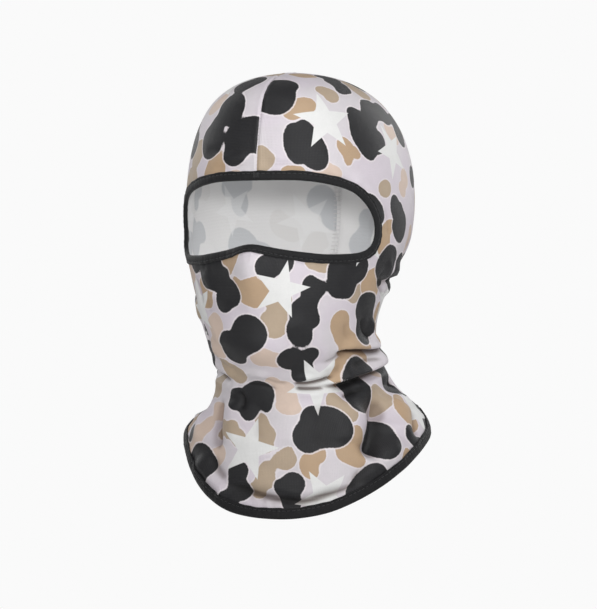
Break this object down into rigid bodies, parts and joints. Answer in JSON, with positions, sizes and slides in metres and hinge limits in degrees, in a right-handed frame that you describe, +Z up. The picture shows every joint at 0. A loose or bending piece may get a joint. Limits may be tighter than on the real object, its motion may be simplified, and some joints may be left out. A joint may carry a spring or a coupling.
{
  "type": "knitted balaclava",
  "caption": "Full-head knitted balaclava with a wide eye opening, folded black edge bindings, a centre seam over the crown and a flared neck bib.",
  "frame": {"origin": "on the sagittal axis of the worn hood, in the plane of the neck opening, level with the hem's lowest point", "axes": "+Z up from the neck opening to the crown, the face looks along -Y, +X is the wearer's left"},
  "size_m": [0.1836, 0.2147, 0.321],
  "materials": {
    "printed_knit": "matte fine-gauge stretch knit, printed outside, pale reverse inside",
    "black_binding": "matte folded knit elastic",
    "black_thread": "twisted polyester thread",
    "light_thread": "textured overlock thread",
    "label_satin": "blank woven satin"
  },
  "bodies": {
    "hood": {"hood_panel": "printed_knit", "eye_binding": "black_binding", "hem_binding": "black_binding", "eye_binding_topstitch": "black_thread", "hem_binding_topstitch": "black_thread", "eye_binding_bartack": "black_thread", "hem_binding_bartack": "black_thread", "centre_seam_overlock": "light_thread", "care_label_stitches": "light_thread"},
    "label": {"care_label": "label_satin"}
  },
  "joints": [
    {"name": "care_label_hinge", "type": "hinge", "parent": "hood", "child": "label", "pos_m": [0, 0.0526, 0.122], "axis": [0, 0, -1], "range_deg": [0, 132]}
  ]
}
